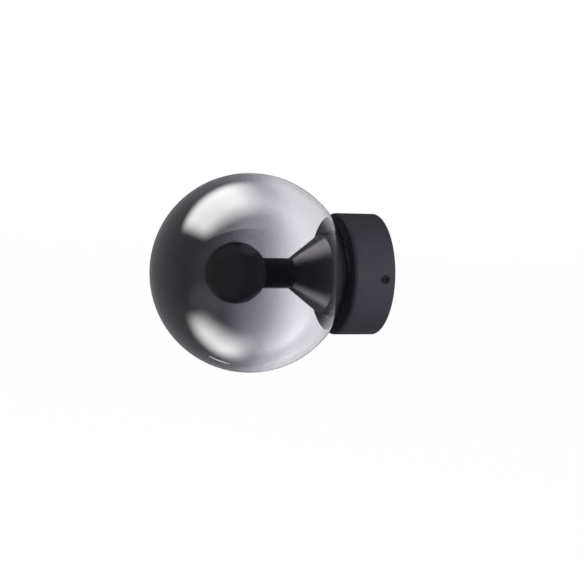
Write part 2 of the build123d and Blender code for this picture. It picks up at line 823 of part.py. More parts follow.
with BuildPart() as block_screws:
    with BuildSketch(facing(seat_gap)):
        with Locations((block_centre, block_middle)):
            with GridLocations(pole_pitch, 1, 2, 1):
                Circle(block_screw_radius)
    extrude(amount=bracket_thickness + block_screw_seat - seat_gap)
    with BuildSketch(facing(bracket_thickness + block_screw_seat)):
        with Locations((block_centre, block_middle)):
            with GridLocations(pole_pitch, 1, 2, 1):
                Circle(block_screw_head_radius)
    extrude(amount=block_screw_head_height)

# ---- earth point -----------------------------------------------------------------------------
earth_tag_rear = lead_height - earth_tag_thickness / 2
earth_tag_front = lead_height + earth_tag_thickness / 2

with BuildPart() as earth_pillar:
    with BuildSketch(facing(bracket_thickness)):
        with Locations((-earth_screw_place, 0)):
            Circle(earth_pillar_radius)
            Circle(earth_screw_radius + fit_gap, mode=Mode.SUBTRACT)
    extrude(amount=earth_tag_rear - bracket_thickness)

with BuildPart() as earth_tag:
    with BuildSketch(facing(earth_tag_rear)):
        with Locations((-earth_screw_place, 0)):
            Circle(earth_tag_radius)
    extrude(amount=earth_tag_thickness)
    barrel_start = -earth_screw_place + earth_pillar_radius + seat_gap
    with BuildSketch(Plane.YZ.offset(barrel_start)):
        with Locations((-lead_height, 0)):
            Circle(earth_barrel_radius)
    extrude(amount=earth_barrel_reach - earth_pillar_radius)
    with BuildSketch(Plane.YZ.offset(barrel_start + earth_tag_thickness)):
        with Locations((-lead_height, 0)):
            Circle(lead_radius + fit_gap)
    extrude(amount=earth_barrel_reach, mode=Mode.SUBTRACT)
    with BuildSketch(facing(earth_tag_rear)):
        with Locations((-earth_screw_place, 0)):
            Circle(earth_screw_radius + fit_gap)
    extrude(amount=earth_tag_thickness, mode=Mode.SUBTRACT)

with BuildPart() as earth_screw:
    with BuildSketch(facing(seat_gap)):
        with Locations((-earth_screw_place, 0)):
            Circle(earth_screw_radius)
    extrude(amount=earth_tag_front - seat_gap)
    with BuildSketch(facing(earth_tag_front)):
        with Locations((-earth_screw_place, 0)):
            Circle(earth_screw_head_radius)
    extrude(amount=earth_screw_head_height)
    fillet(earth_screw.edges().group_by(Axis.Y)[0], earth_screw_head_round)


# ---- leads -----------------------------------------------------------------------------------
def lead(places, radii):
    """Round lead along straight runs joined by arcs; each place is x, distance from the wall, z."""
    with BuildPart() as piece:
        with BuildLine() as route:
            FilletPolyline([Vector(x, -out, z) for x, out, z in places], radius=radii)
        with BuildSketch(Plane(origin=route.line @ 0, z_dir=route.line % 0)):
            Circle(lead_radius)
        sweep(path=route.line)
    length = sum(edge.length for edge in route.edges())
    share = piece.part.volume / (math.pi * lead_radius**2 * length)
    print(f"lead of {length:.1f} mm, bend radii {radii}, share of section times length {share:.4f}")
    return piece


live_lead = lead(
    [
        (live_pole, lead_height, wire_top),
        (live_pole, lead_height, 0),
        (-lead_spread, lead_end, 0),
    ],
    [lead_bend_radius],
)
neutral_lead = lead(
    [
        (neutral_pole, lead_height, wire_top),
        (neutral_pole, lead_height, neutral_turn_height),
        (lead_spread, lead_height, 0),
        (lead_spread, lead_end, 0),
    ],
    [neutral_turn_radius, lead_bend_radius],
)
earth_lead = lead(
    [
        (barrel_start + 2 * earth_tag_thickness, lead_height, 0),
        (earth_pole, lead_height, 0),
        (earth_pole, lead_height, wire_top),
    ],
    [lead_bend_radius],
)

# ---- one file for each piece -------------------------------------------------------------------
pieces = {
    "wall_bracket": wall_bracket,
    "cable_grommet": cable_grommet,
    "terminal_block": terminal_block,
    "terminal_clamps": terminal_clamps,
    "clamp_screws": clamp_screws,
    "block_screws": block_screws,
    "earth_pillar": earth_pillar,
    "earth_tag": earth_tag,
    "earth_screw": earth_screw,
    "live_lead": live_lead,
    "neutral_lead": neutral_lead,
    "earth_lead": earth_lead,
    "canopy": canopy,
    "canopy_side_screws": canopy_side_screws,
    "canopy_studs": canopy_studs,
    "carrier_plate": carrier_plate,
    "carrier_screws": carrier_screws,
    "neck_gasket": neck_gasket,
    "hub_drum": hub_drum,
    "grip_springs": grip_springs,
    "spring_rivets": spring_rivets,
    "tie_tube": tie_tube,
    "tie_nut": tie_nut,
    "lock_washer": lock_washer,
    "tube_bushing": tube_bushing,
    "spacer_tube": spacer_tube,
    "cone_cover": cone_cover,
    "sleeve_tube": sleeve_tube,
    "lampholder_body": lampholder_body,
    "thread_shell": thread_shell,
    "holder_terminals": holder_terminals,
    "centre_contact": centre_contact,
    "side_contact": side_contact,
    "globe_glass": globe_glass,
    "lamp_globe": lamp_globe,
    "lamp_cap": lamp_cap,
    "lamp_insulator": lamp_insulator,
    "lamp_contact": lamp_contact,
}

os.makedirs("parts", exist_ok=True)
for label, piece in pieces.items():
    piece.part.label = label
    export_step(piece.part, f"parts/{label}.step")
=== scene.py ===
import math

import bmesh
import bpy
from mathutils import Matrix, Vector
from mathutils.geometry import tessellate_polygon


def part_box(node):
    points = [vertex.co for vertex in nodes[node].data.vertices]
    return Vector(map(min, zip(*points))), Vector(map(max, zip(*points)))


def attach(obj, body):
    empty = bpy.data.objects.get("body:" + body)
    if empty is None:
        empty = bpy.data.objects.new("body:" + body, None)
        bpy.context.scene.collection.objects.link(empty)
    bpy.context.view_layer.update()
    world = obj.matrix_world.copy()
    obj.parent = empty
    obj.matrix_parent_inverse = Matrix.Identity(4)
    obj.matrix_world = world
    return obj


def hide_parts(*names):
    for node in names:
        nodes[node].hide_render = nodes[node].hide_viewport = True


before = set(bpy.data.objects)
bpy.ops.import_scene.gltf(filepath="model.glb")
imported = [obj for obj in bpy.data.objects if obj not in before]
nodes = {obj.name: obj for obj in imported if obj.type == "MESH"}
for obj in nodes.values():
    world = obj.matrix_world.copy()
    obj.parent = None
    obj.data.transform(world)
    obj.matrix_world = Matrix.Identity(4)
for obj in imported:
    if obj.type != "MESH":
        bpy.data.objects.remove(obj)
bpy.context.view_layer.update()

# Globe wall sconce. The wall is the plane y = 0, the lamp stands out of it along -Y, and +Z is up.
# All sizes are in metres, and "out" is a distance from the wall along -Y.

scene = bpy.context.scene

# ---- camera ----------------------------------------------------------------------------
view_azimuth = math.radians(20.85)      # between the line of sight and the wall's plane
view_drop = math.radians(5.1)           # of the line of sight below the horizon
view_roll = math.radians(2.31)
view_distance = 1.8
view_focus = Vector((0, -0.09, 0))
view_aside = -0.00101                   # of the focus from the picture's middle
view_above = 0.01688
sensor = 36.0
focal_share = 1780.0 / 580.0            # focal length as a share of the picture's width

forward = Vector((
    -math.cos(view_azimuth) * math.cos(view_drop),
    math.sin(view_azimuth) * math.cos(view_drop),
    -math.sin(view_drop),
))
level = Vector((math.sin(view_azimuth), math.cos(view_azimuth), 0))
upright = level.cross(forward)
right = math.cos(view_roll) * level + math.sin(view_roll) * upright
up = -math.sin(view_roll) * level + math.cos(view_roll) * upright

camera = bpy.data.objects.new("camera", bpy.data.cameras.new("camera"))
scene.collection.objects.link(camera)
camera.data.sensor_width = sensor
camera.data.lens = sensor * focal_share
camera.data.clip_start = 0.05
camera.data.clip_end = 60
place = view_focus - forward * view_distance - right * view_aside - up * view_above
turn = Matrix((right, up, -forward)).transposed()
camera.matrix_world = Matrix.Translation(place) @ turn.to_4x4()
scene.camera = camera
scene.view_settings.view_transform = "Standard"

# ---- shader tools ----------------------------------------------------------------------


class Tree:
    """A node tree, and short calls for the nodes that recur. spot is the place or direction it works from."""

    def __init__(self, tree, spot_node, spot_output):
        self.tree = tree
        self.spot = tree.nodes.new(spot_node).outputs[spot_output]

    def add(self, kind, inputs=(), **settings):
        node = self.tree.nodes.new(kind)
        for key, value in settings.items():
            setattr(node, key, value)
        for key, value in dict(inputs).items():
            self.feed(node.inputs[key], value)
        return node

    def feed(self, socket, value):
        if isinstance(value, bpy.types.NodeSocket):
            self.tree.links.new(value, socket)
        else:
            socket.default_value = value

    def maths(self, operation, *values):
        return self.add("ShaderNodeMath", dict(enumerate(values)), operation=operation).outputs[0]

    def split(self, vector=None):
        node = self.add("ShaderNodeSeparateXYZ", {"Vector": vector or self.spot})
        return node.outputs[0], node.outputs[1], node.outputs[2]

    def merge(self, x, y, z):
        return self.add("ShaderNodeCombineXYZ", {"X": x, "Y": y, "Z": z}).outputs[0]

    def span(self, value, low, high, start=0.0, end=1.0, smooth=True):
        """value between low and high, as a soft step from start to end."""
        kind = "SMOOTHSTEP" if smooth else "LINEAR"
        inputs = {"Value": value, "From Min": low, "From Max": high, "To Min": start, "To Max": end}
        return self.add("ShaderNodeMapRange", inputs, interpolation_type=kind).outputs[0]

    def average(self, first, second, share=0.5):
        """Two values summed, with the given share for the second."""
        return self.maths("ADD", self.maths("MULTIPLY", first, 1 - share), self.maths("MULTIPLY", second, share))

    def mix(self, share, first, second):
        """A number between two."""
        return self.add("ShaderNodeMix", {0: share, 2: first, 3: second}, data_type="FLOAT").outputs[0]

    def blend(self, share, first, second, how="MIX"):
        """A colour between two, or the first multiplied by the second."""
        node = self.add("ShaderNodeMix", data_type="RGBA", blend_type=how)
        self.feed(node.inputs["Factor"], share)
        for socket, value in zip((node.inputs[6], node.inputs[7]), (first, second)):
            self.feed(socket, value if isinstance(value, bpy.types.NodeSocket) else (*value, 1.0))
        return node.outputs[2]

    def shaders(self, share, first, second):
        return self.add("ShaderNodeMixShader", {0: share, 1: first, 2: second}).outputs[0]


class Finish(Tree):
    """A material with its node tree."""

    def __init__(self, name):
        self.material = bpy.data.materials.new(name)
        self.material.use_nodes = True
        tree = self.material.node_tree
        tree.nodes.clear()
        self.out = tree.nodes.new("ShaderNodeOutputMaterial")
        super().__init__(tree, "ShaderNodeTexCoord", "Object")

    def noise(self, size, detail=2.0, rough=0.5, vector=None):
        """Noise whose largest features are about size across."""
        inputs = {"Vector": vector or self.spot, "Scale": 1 / size, "Detail": detail, "Roughness": rough}
        return self.add("ShaderNodeTexNoise", inputs).outputs["Fac"]

    def cells(self, size):
        inputs = {"Vector": self.spot, "Scale": 1 / size}
        return self.add("ShaderNodeTexVoronoi", inputs, feature="F1").outputs["Distance"]

    def ramp(self, value, stops):
        """A colour along a scale; stops are pairs of a place from 0 to 1 and a colour."""
        node = self.add("ShaderNodeValToRGB", {"Fac": value})
        node.color_ramp.interpolation = "B_SPLINE"
        points = node.color_ramp.elements
        while len(points) < len(stops):
            points.new(0.5)
        for point, (place, colour) in zip(points, stops):
            point.position = place
        for point, (place, colour) in zip(points, stops):
            point.color = (*colour, 1.0)
        return node.outputs[0]

    def root(self, colour):
        """The colour of half a layer."""
        return self.add("ShaderNodeGamma", {"Color": colour, "Gamma": 0.5}).outputs[0]

    def bump(self, height, depth, strength=1.0, under=None):
        """A relief of the given depth in metres; under is a wider relief below it."""
        node = self.add("ShaderNodeBump", {"Height": height, "Distance": depth, "Strength": strength})
        if under is not None:
            self.feed(node.inputs["Normal"], under)
        return node.outputs[0]

    def principled(self, **values):
        node = self.add("ShaderNodeBsdfPrincipled")
        for key, value in values.items():
            name = key.replace("_", " ").title().replace("Ior", "IOR")
            socket = node.inputs[name]
            if isinstance(value, tuple) and len(value) == 3:
                value = (*value, 1.0)
            self.feed(socket, value)
        return node.outputs[0]

    def done(self, shader):
        self.tree.links.new(shader, self.out.inputs["Surface"])
        return self.material


def dress(material, *names):
    """Gives CAD nodes a material in every slot they have."""
    for name in names:
        slots = nodes[name].material_slots
        for slot in slots:
            slot.material = material
        if not slots:
            nodes[name].data.materials.append(material)


# ---- glass ------------------------------------------------------------------------------

# what one layer of the globe lets through, by its distance from the wall
tint_start, tint_end = 0.10, 0.24       # the ends of the tint's scale
layer_tints = [
    (0.110, (0.932, 0.928, 0.956)),
    (0.120, (0.835, 0.828, 0.868)),
    (0.136, (0.525, 0.518, 0.560)),
    (0.150, (0.325, 0.318, 0.355)),
    (0.166, (0.218, 0.211, 0.243)),
    (0.178, (0.136, 0.130, 0.152)),
    (0.195, (0.090, 0.086, 0.100)),
    (0.232, (0.080, 0.076, 0.089)),
]
tint_wander = 0.004
film_start, film_full, film_share = 0.118, 0.180, 0.85
pane_pass = (0.93, 0.93, 0.93)          # what both faces of a pane let through
pane_reach = 0.008                      # a path shorter than this stays inside the glass


def smoked_glass():
    """Clear by the wall, smoked with a thin mirror film towards the front pole.

    Light that other pieces reflect or scatter passes it in a straight line, and so does shadow.
    """
    f = Finish("smoked_glass")
    y = f.split()[1]
    wander = f.maths("MULTIPLY", f.maths("SUBTRACT", f.noise(0.06), 0.5), tint_wander)
    out = f.maths("ADD", f.maths("MULTIPLY", y, -1.0), wander)
    scale = f.span(out, tint_start, tint_end, smooth=False)
    tint = f.ramp(scale, [((place - tint_start) / (tint_end - tint_start), colour) for place, colour in layer_tints])
    glass = f.principled(
        base_color=tint,
        roughness=0.0,
        ior=1.5,
        transmission_weight=1.0,
        coat_weight=f.maths("MULTIPLY", f.span(out, film_start, film_full), film_share),
        coat_roughness=0.02,
        coat_ior=2.3,
        normal=f.bump(f.noise(0.035, 1.0), 0.00012, 0.5),
    )
    half_pane = f.root(f.blend(1.0, tint, pane_pass, "MULTIPLY"))
    clear = f.add("ShaderNodeBsdfTransparent", {"Color": half_pane}).outputs[0]
    path = f.add("ShaderNodeLightPath").outputs
    reflected = f.maths("MULTIPLY", path["Is Glossy Ray"], f.maths("SUBTRACT", 1.0, path["Is Transmission Ray"]))
    apart = f.maths("GREATER_THAN", path["Ray Length"], pane_reach)
    passed = f.maths("GREATER_THAN", path["Transparent Depth"], 0.5)
    reflected = f.maths("MULTIPLY", reflected, f.maths("MAXIMUM", apart, passed))
    scattered = f.maths("MAXIMUM", path["Is Shadow Ray"], path["Is Diffuse Ray"])
    return f.done(f.shaders(f.maths("MAXIMUM", scattered, reflected), glass, clear))


def lamp_glass():
    """Dark smoked glass that shows nothing of its inside."""
    f = Finish("lamp_glass")
    haze = f.noise(0.018, 3.0)
    colour = f.blend(haze, (0.046, 0.0435, 0.056), (0.056, 0.053, 0.068))
    rough = f.span(f.noise(0.006, 4.0), 0.3, 0.8, 0.045, 0.085)
    relief = f.bump(f.noise(0.012, 1.0), 0.00005, 0.35)
    return f.done(f.principled(
        base_color=colour, roughness=rough, ior=1.5, coat_weight=0.5, coat_roughness=0.02, normal=relief,
    ))


# ---- painted metal --------------------------------------------------------------------------


def satin_black():
    """Powder coat: fine orange peel, a little paler on the edges."""
    f = Finish("satin_black")
    peel = f.noise(0.0011, 2.0, 0.55)
    grit = f.noise(0.00028, 3.0, 0.6)
    cloud = f.noise(0.03, 3.0)
    colour = f.blend(cloud, (0.0285, 0.027, 0.036), (0.0345, 0.033, 0.043))
    edge = f.span(f.add("ShaderNodeNewGeometry").outputs["Pointiness"], 0.51, 0.56)
    colour = f.blend(edge, colour, (0.046, 0.044, 0.053))
    rough = f.span(f.average(grit, cloud), 0.25, 0.75, 0.46, 0.56)
    relief = f.bump(grit, 0.000012, 0.45, f.bump(peel, 0.00003, 0.5))
    return f.done(f.principled(
        base_color=colour, roughness=rough, ior=1.5, specular_ior_level=0.06, normal=relief,
    ))


cone_tip, cone_start = (-0.0895, -0.0875), (-0.0574, -0.0571)     # along Y, where the lacquer changes


def gloss_black():
    """Stoved lacquer with faint turning lines: deep black on the sleeve, paler on the cone, duller on the drum."""
    f = Finish("gloss_black")
    y = f.split()[1]
    lines = f.noise(0.0007, 3.0, 0.6, f.merge(0.0, y, 0.0))
    cloud = f.noise(0.02, 3.0)
    drum = f.span(y, *cone_start)
    colour = f.blend(cloud, (0.0040, 0.0036, 0.0052), (0.0060, 0.0054, 0.0076))
    colour = f.blend(f.span(y, *cone_tip), colour, (0.013, 0.0122, 0.0175))
    colour = f.blend(drum, colour, (0.034, 0.032, 0.042))
    rough = f.span(f.average(lines, cloud, 0.6), 0.25, 0.75, 0.20, 0.28)
    rough = f.maths("ADD", rough, f.maths("MULTIPLY", drum, 0.18))
    relief = f.bump(lines, 0.000006, 0.5, f.bump(f.noise(0.0016, 1.0), 0.00001, 0.35))
    return f.done(f.principled(
        base_color=colour, roughness=rough, ior=1.55, specular_ior_level=0.4, specular_tint=(1.0, 0.95, 1.0),
        coat_weight=0.32, coat_roughness=0.12, coat_ior=1.55, normal=relief,
    ))


def screw_black():
    """Black oxide on a turned screw, with random paler patches painted on the head as small highlights."""
    f = Finish("screw_black")
    x = f.split()[0]
    lines = f.noise(0.0003, 3.0, 0.6, f.merge(x, 0.0, 0.0))
    # painted highlight: random patches of paler colour stand in for small glints on the head
    painted_glints = f.span(f.noise(0.0016, 4.0, 0.65), 0.52, 0.72)
    colour = f.blend(painted_glints, (0.0125, 0.0115, 0.0155), (0.070, 0.066, 0.078))
    rough = f.span(lines, 0.3, 0.7, 0.24, 0.38)
    relief = f.bump(lines, 0.000008, 0.6)
    return f.done(f.principled(base_color=colour, metallic=0.35, roughness=rough, normal=relief))


# ---- plain metals ------------------------------------------------------------------------------


def zinc_steel():
    """Bright zinc plate on pressed steel: spangle, rolling lines and dull handling marks."""
    f = Finish("zinc_steel")
    x, y, z = f.split()
    rolled = f.noise(0.0005, 4.0, 0.6, f.merge(f.maths("MULTIPLY", x, 0.06), y, z))
    marks = f.noise(0.012, 5.0, 0.6)
    colour = f.blend(marks, (0.50, 0.505, 0.51), (0.66, 0.665, 0.67))
    colour = f.blend(f.span(f.cells(0.0035), 0.2, 0.9, 0.0, 0.25), colour, (0.74, 0.745, 0.76))
    rough = f.span(f.average(rolled, marks), 0.3, 0.7, 0.24, 0.40)
    return f.done(f.principled(
        base_color=colour, metallic=0.6, roughness=rough, normal=f.bump(rolled, 0.000006, 0.5),
    ))


def spring_steel():
    """Bright rolled strip with fine lines along its length."""
    f = Finish("spring_steel")
    x, y, z = f.split()
    lines = f.noise(0.0003, 3.0, 0.6, f.merge(x, f.maths("MULTIPLY", y, 0.05), z))
    warm = f.noise(0.006, 2.0)
    colour = f.blend(warm, (0.42, 0.41, 0.40), (0.56, 0.54, 0.51))
    rough = f.span(lines, 0.3, 0.7, 0.18, 0.30)
    return f.done(f.principled(
        base_color=colour, metallic=1.0, roughness=rough, normal=f.bump(lines, 0.000005, 0.5),
    ))


def brass():
    """Turned brass, tarnished in patches."""
    f = Finish("brass")
    tarnish = f.noise(0.004, 5.0, 0.6)
    lines = f.noise(0.00025, 3.0, 0.6)
    colour = f.blend(f.span(tarnish, 0.35, 0.7), (0.80, 0.60, 0.27), (0.58, 0.42, 0.20))
    rough = f.span(tarnish, 0.3, 0.75, 0.20, 0.36)
    return f.done(f.principled(
        base_color=colour, metallic=1.0, roughness=rough, normal=f.bump(lines, 0.000005, 0.5),
    ))


def nickel():
    """Nickel plate on the lamp's cap, with drawing lines round it."""
    f = Finish("nickel_cap")
    y = f.split()[1]
    lines = f.noise(0.0003, 3.0, 0.6, f.merge(0.0, y, 0.0))
    marks = f.noise(0.004, 4.0, 0.6)
    colour = f.blend(marks, (0.60, 0.58, 0.54), (0.72, 0.70, 0.66))
    rough = f.span(lines, 0.3, 0.7, 0.12, 0.24)
    return f.done(f.principled(
        base_color=colour, metallic=1.0, roughness=rough, normal=f.bump(lines, 0.000005, 0.6),
    ))


# ---- plastics, rubber and leads -------------------------------------------------------------------


def moulded(name, dark, pale, low, high, grain, depth):
    """A moulded surface: soft flow marks under a fine spark-eroded grain."""
    f = Finish(name)
    flow = f.noise(0.012, 3.0)
    fine = f.noise(grain, 3.0, 0.6)
    colour = f.blend(flow, dark, pale)
    rough = f.span(f.average(flow, fine, 0.6), 0.3, 0.7, low, high)
    return f.done(f.principled(base_color=colour, roughness=rough, ior=1.48, normal=f.bump(fine, depth, 0.5)))


stripe_turns = 900.0                    # radians of the earth lead's two colours in a metre


def lead_sheath(name, dark, pale, stripe=None):
    """Soft sheath with talc-dull patches; an earth lead has a second colour in bands."""
    f = Finish(name)
    x, y, z = f.split()
    dull = f.noise(0.005, 4.0, 0.6)
    colour = f.blend(dull, dark, pale)
    if stripe is not None:
        side = f.maths("SINE", f.maths("MULTIPLY", f.maths("ADD", f.maths("ADD", x, z), y), stripe_turns))
        colour = f.blend(f.span(side, -0.1, 0.1), colour, stripe)
    rough = f.span(dull, 0.3, 0.7, 0.42, 0.58)
    return f.done(f.principled(
        base_color=colour, roughness=rough, ior=1.42, normal=f.bump(f.noise(0.0006, 3.0), 0.00001, 0.5),
    ))


dress(smoked_glass(), "globe_glass")
dress(lamp_glass(), "lamp_globe")
dress(satin_black(), "canopy")
dress(gloss_black(), "hub_drum", "cone_cover", "sleeve_tube")
dress(screw_black(), "canopy_side_screws")
dress(zinc_steel(), "wall_bracket", "carrier_plate", "canopy_studs", "carrier_screws", "tie_tube", "tie_nut",
      "lock_washer", "spacer_tube", "earth_screw", "earth_pillar", "block_screws", "clamp_screws", "spring_rivets")
dress(spring_steel(), "grip_springs")
dress(brass(), "terminal_clamps", "holder_terminals", "centre_contact", "side_contact", "thread_shell",
      "lamp_contact", "earth_tag")
dress(nickel(), "lamp_cap")
dress(moulded("white_plastic", (0.74, 0.73, 0.69), (0.82, 0.81, 0.78), 0.34, 0.48, 0.0004, 0.00001),
      "terminal_block", "tube_bushing")
dress(moulded("black_plastic", (0.022, 0.022, 0.023), (0.032, 0.032, 0.033), 0.42, 0.56, 0.0004, 0.000015),
      "lampholder_body")
dress(moulded("insulator_black", (0.012, 0.012, 0.013), (0.020, 0.020, 0.021), 0.08, 0.16, 0.0008, 0.000006),
      "lamp_insulator")
dress(moulded("black_rubber", (0.026, 0.026, 0.026), (0.038, 0.038, 0.037), 0.58, 0.74, 0.0005, 0.00002),
      "cable_grommet")
dress(moulded("clear_silicone", (0.055, 0.055, 0.060), (0.075, 0.075, 0.080), 0.42, 0.55, 0.0006, 0.00001),
      "neck_gasket")
dress(lead_sheath("lead_brown", (0.145, 0.055, 0.022), (0.20, 0.085, 0.035)), "live_lead")
dress(lead_sheath("lead_blue", (0.022, 0.075, 0.36), (0.035, 0.11, 0.47)), "neutral_lead")
dress(lead_sheath("lead_earth", (0.05, 0.30, 0.05), (0.07, 0.38, 0.07), (0.78, 0.70, 0.05)), "earth_lead")

# ---- pieces with a relief that the CAD leaves plain ----------------------------------------------


def piece(name, verts, faces, node, body, sharp=35):
    """A new piece that stands for a CAD node, in that node's material."""
    mesh = bpy.data.meshes.new(name)
    mesh.from_pydata(verts, [], faces)
    shape = bmesh.new()
    shape.from_mesh(mesh)
    bmesh.ops.recalc_face_normals(shape, faces=shape.faces)
    for face in shape.faces:
        face.smooth = True
    shape.to_mesh(mesh)
    shape.free()
    mesh.set_sharp_from_angle(angle=math.radians(sharp))
    mesh.materials.append(nodes[node].material_slots[0].material)
    obj = bpy.data.objects.new(name, mesh)
    scene.collection.objects.link(obj)
    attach(obj, body)
    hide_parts(node)
    return obj


def soft(value, low, high):
    share = min(max((value - low) / (high - low), 0.0), 1.0)
    return share * share * (3 - 2 * share)


def groove(out, angle, pitch, spans, runout):
    """How far a thread is cut at a place, from 0 at its crest to 1 at its root."""
    window = max(soft(out, low, low + runout) * (1 - soft(out, high - runout, high)) for low, high in spans)
    return window * (0.5 - 0.5 * math.cos(math.tau * out / pitch - angle))


def threaded(name, section, around, pitch, depth, spans, runout, node, body):
    """A hollow piece turned from a closed section of (out, radius, share of the thread's depth)."""
    verts = []
    for out, radius, share in section:
        for k in range(around):
            angle = math.tau * k / around
            r = radius - share * depth * groove(out, angle, pitch, spans, runout)
            verts.append((r * math.cos(angle), -out, r * math.sin(angle)))
    faces = []
    rows = len(section)
    for i in range(rows):
        j = (i + 1) % rows
        for k in range(around):
            m = (k + 1) % around
            faces.append((i * around + k, i * around + m, j * around + m, j * around + k))
    return piece(name, verts, faces, node, body)


def steps(low, high, count):
    return [low + (high - low) * i / count for i in range(count + 1)]


around_cap, around_tube, around_screw = 80, 48, 48      # sides of the turned pieces
rows_cap, rows_shell, rows_rear, rows_front = 64, 56, 92, 80
rows_bend = 5

# the lamp's screw cap: a rolled 14 mm thread under a plain collar
cap_low, cap_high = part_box("lamp_cap")
cap_rear, cap_front, cap_radius = -cap_high.y, -cap_low.y, cap_high.x
cap_wall, cap_hole, cap_edge = 0.00035, 0.005, 0.0009
cap_pitch, cap_depth, cap_runout = 0.00282, 0.0005, 0.0012
cap_collar, cap_lip = 0.0042, 0.0002
cap_thread = [(cap_rear + cap_runout, cap_front - cap_collar)]
outer = [(cap_front, cap_radius, 0)]
outer += [(out, cap_radius, 1) for out in reversed(steps(cap_rear + cap_edge, cap_front - cap_lip, rows_cap))]
for angle in steps(0, 90, rows_bend)[1:]:
    bend = math.radians(angle)
    outer.append((cap_rear + cap_edge * (1 - math.sin(bend)), cap_radius - cap_edge * (1 - math.cos(bend)), 0))
inner = [(cap_rear, cap_hole, 0), (cap_rear + cap_wall, cap_hole, 0)]
inner += [(cap_rear + cap_wall, cap_radius - cap_edge, 0)]
inner += [(out, cap_radius - cap_wall, 1) for out in steps(cap_rear + cap_edge, cap_front, rows_cap)]
threaded("lamp_cap_rolled", outer + inner, around_cap, cap_pitch, cap_depth, cap_thread, cap_runout,
         "lamp_cap", "lamp")

# the holder's brass shell, with the matching thread
shell_low, shell_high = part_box("thread_shell")
shell_rear, shell_front, shell_radius = -shell_high.y, -shell_low.y, shell_high.x
shell_wall, shell_depth, shell_runout = 0.0003, 0.00033, 0.001
shell_outs = steps(shell_rear, shell_front, rows_shell)
shell_section = [(out, shell_radius, 1) for out in reversed(shell_outs)]
shell_section += [(out, shell_radius - shell_wall, 1) for out in shell_outs]
shell_thread = [(shell_rear + shell_runout, shell_front - shell_runout)]
threaded("thread_shell_rolled", shell_section, around_cap, cap_pitch, shell_depth, shell_thread, shell_runout,
         "thread_shell", "fixture")

# the tie tube, threaded at both ends
tube_low, tube_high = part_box("tie_tube")
tube_rear, tube_front, tube_radius = -tube_high.y, -tube_low.y, tube_high.x
tube_bore = 0.0039
tube_pitch, tube_depth, tube_runout = 0.001, 0.0004, 0.0008
tube_lip = 0.0002                       # plain at each end
tube_past = 0.0005                      # of fine rows beyond each thread
rear_thread, front_thread = 0.011, 0.0095
tube_spans = [(tube_rear + tube_lip, tube_rear + rear_thread), (tube_front - front_thread, tube_front - tube_lip)]
tube_outs = steps(tube_rear, tube_rear + rear_thread + tube_past, rows_rear)
tube_outs += steps(tube_front - front_thread - tube_past, tube_front, rows_front)
tube_section = [(out, tube_radius, 1) for out in reversed(tube_outs)]
tube_section += [(tube_rear, tube_bore, 0), (tube_front, tube_bore, 0)]
threaded("tie_tube_threaded", tube_section, around_tube, tube_pitch, tube_depth, tube_spans, tube_runout,
         "tie_tube", "fixture")


def cross_screws(name, node, centres, head, shank, arm, width, depth):
    """Screws along Y whose heads face the wall and have a cross recess.

    head and shank are rows of (out, radius). The recess is two crossed slots that reach arm from its middle.
    """
    around = around_screw
    narrowing = 0.8                     # of the recess at its bottom
    verts, faces = [], []
    for centre_x, centre_z in centres:
        start = len(verts)
        rows = head + shank
        for out, radius in rows:
            for k in range(around):
                angle = math.tau * k / around
                verts.append((centre_x + radius * math.cos(angle), -out, centre_z + radius * math.sin(angle)))
        for i in range(len(rows) - 1):
            for k in range(around):
                m = (k + 1) % around
                a, b = start + i * around, start + (i + 1) * around
                faces.append((a + k, a + m, b + m, b + k))
        faces.append(tuple(start + (len(rows) - 1) * around + k for k in range(around)))
        half = width / 2
        outline = [(arm, half), (half, half), (half, arm), (-half, arm), (-half, half), (-arm, half),
                   (-arm, -half), (-half, -half), (-half, -arm), (half, -arm), (half, -half), (arm, -half)]
        top, floor_at = len(verts), len(verts) + len(outline)
        out = head[0][0]
        verts += [(centre_x + u, -out, centre_z + v) for u, v in outline]
        verts += [(centre_x + narrowing * u, -out - depth, centre_z + narrowing * v) for u, v in outline]
        for k in range(len(outline)):
            m = (k + 1) % len(outline)
            faces.append((top + k, top + m, floor_at + m, floor_at + k))
        faces.append(tuple(floor_at + k for k in range(len(outline))))
        rim = [Vector(verts[start + k]) for k in range(around)]
        cut = [Vector(verts[top + k]) for k in range(len(outline))]
        names = [start + k for k in range(around)] + [top + k for k in range(len(outline))]
        flat = [[Vector((p.x, p.z, 0)) for p in rim], [Vector((p.x, p.z, 0)) for p in cut]]
        faces += [tuple(names[i] for i in triple) for triple in tessellate_polygon(flat)]
    return piece(name, verts, faces, node, "fixture")


screw_low, screw_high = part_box("carrier_screws")
head_out, tip_out = -screw_high.y, -screw_low.y
head_radius, head_height, dome, shank_radius, tip_bevel = 0.003, 0.0018, 0.0008, 0.0015, 0.0004
cross_arm, cross_width, cross_depth = 0.0017, 0.0008, 0.0011
circle = screw_high.z - head_radius
screw_angles = [math.radians(angle) for angle in (90, 210, 330)]
centres = [(circle * math.cos(angle), circle * math.sin(angle)) for angle in screw_angles]
head = []
for angle in reversed(steps(0, 90, rows_bend)):
    bend = math.radians(angle)
    head.append((head_out + dome * (1 - math.sin(bend)), head_radius - dome * (1 - math.cos(bend))))
head.append((head_out + head_height, head_radius))
shank = [
    (head_out + head_height, shank_radius),
    (tip_out - tip_bevel, shank_radius),
    (tip_out, shank_radius - tip_bevel),
]
cross_screws("carrier_screws_cross", "carrier_screws", centres, head, shank,
             cross_arm, cross_width, cross_depth)

# ---- studio --------------------------------------------------------------------------------------
warm_white = (1.0, 0.995, 0.97)
floor_height = -0.75
floor_size = 24.0
floor_glow = 0.78                       # what the floor shows the camera besides its lit share
globe_out = 0.1325                      # distance of the globe's centre from the wall

